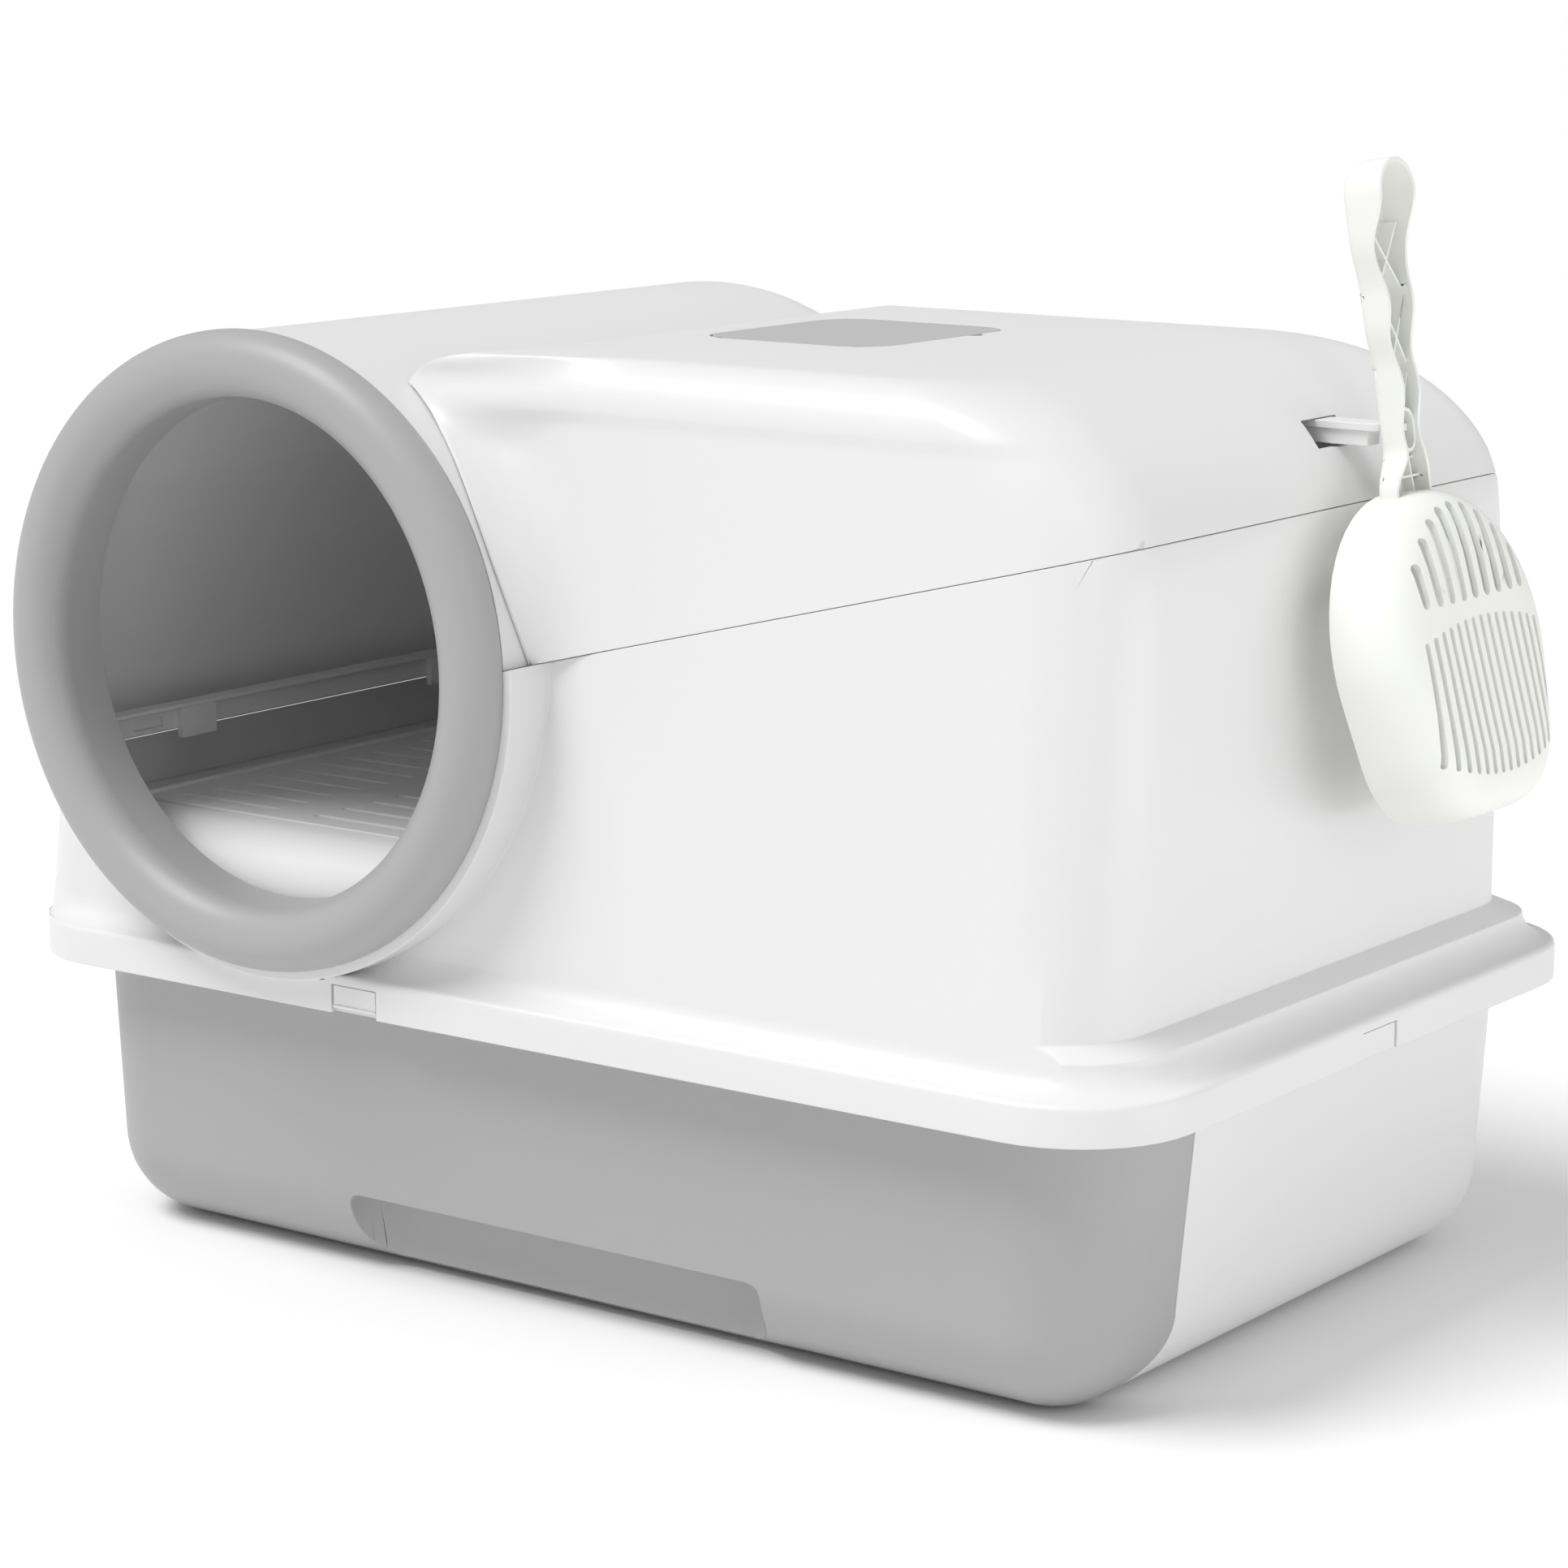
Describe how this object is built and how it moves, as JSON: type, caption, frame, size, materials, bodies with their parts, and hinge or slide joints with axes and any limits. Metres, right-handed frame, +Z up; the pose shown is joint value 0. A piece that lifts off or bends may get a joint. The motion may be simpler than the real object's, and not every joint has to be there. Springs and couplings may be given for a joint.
{
  "type": "cat litter box with hood",
  "caption": "Hooded cat litter box with a front litter drawer, a round entrance into a tunnel with a slotted pedal, a side-opening lid with a filter, and a scoop on a hook.",
  "frame": {"origin": "centre of the base's flat underside", "axes": "+X to the right across the front, -Y out of the front where the entrance and drawer are, +Z up"},
  "size_m": [0.5995, 0.392, 0.4572],
  "materials": {
    "white_shell": "satin moulded white plastic",
    "grey_trim": "satin moulded mid-grey plastic",
    "pale_grey": "satin moulded pale grey plastic",
    "carbon_foam": "black activated-carbon foam",
    "pin_steel": "zinc-plated steel",
    "scoop_plastic": "satin moulded warm off-white plastic"
  },
  "bodies": {
    "base": {"base_frame": "white_shell", "left_runner": "white_shell", "right_runner": "white_shell"},
    "drawer": {"drawer_front": "grey_trim", "drawer_tray": "pale_grey", "drawer_bosses": "grey_trim", "drawer_screws": "pin_steel"},
    "hood": {"hood_lower": "white_shell", "tunnel_cover": "white_shell", "entrance_ring": "grey_trim", "ring_clips": "grey_trim", "seam_strip": "white_shell", "shell_clips": "white_shell", "rim_clips": "white_shell", "pedal_frame": "white_shell", "entry_sill": "white_shell", "cover_hinge_leaf": "white_shell", "hinge_pins": "pin_steel"},
    "lid": {"flip_lid": "white_shell", "lid_hinge_leaf": "white_shell", "lid_catches": "white_shell", "filter_basket": "white_shell", "carbon_filter": "carbon_foam", "scoop_hook": "white_shell"},
    "cover": {"filter_cover": "pale_grey"},
    "pedal_plate": {"pedal": "white_shell"},
    "scoop": {"scoop_bowl": "scoop_plastic", "scoop_handle": "scoop_plastic"}
  },
  "joints": [
    {"name": "drawer_slide", "type": "slide", "parent": "base", "child": "drawer", "axis": [0, -1, 0], "range_m": [0, 0.26]},
    {"name": "hood_lift", "type": "slide", "parent": "base", "child": "hood", "axis": [0, 0, 1], "range_m": [0, 0.2]},
    {"name": "lid_hinge", "type": "hinge", "parent": "hood", "child": "lid", "pos_m": [-0.0495, 0, 0.368], "axis": [0, -1, 0], "range_deg": [0, 90]},
    {"name": "cover_lift", "type": "slide", "parent": "lid", "child": "cover", "axis": [0, 0, 1], "range_m": [0, 0.04]},
    {"name": "pedal_lift", "type": "slide", "parent": "hood", "child": "pedal_plate", "axis": [0, 0, 1], "range_m": [0, 0.05]},
    {"name": "scoop_slide", "type": "slide", "parent": "lid", "child": "scoop", "axis": [1, 0, 0], "range_m": [0, 0.07]}
  ]
}
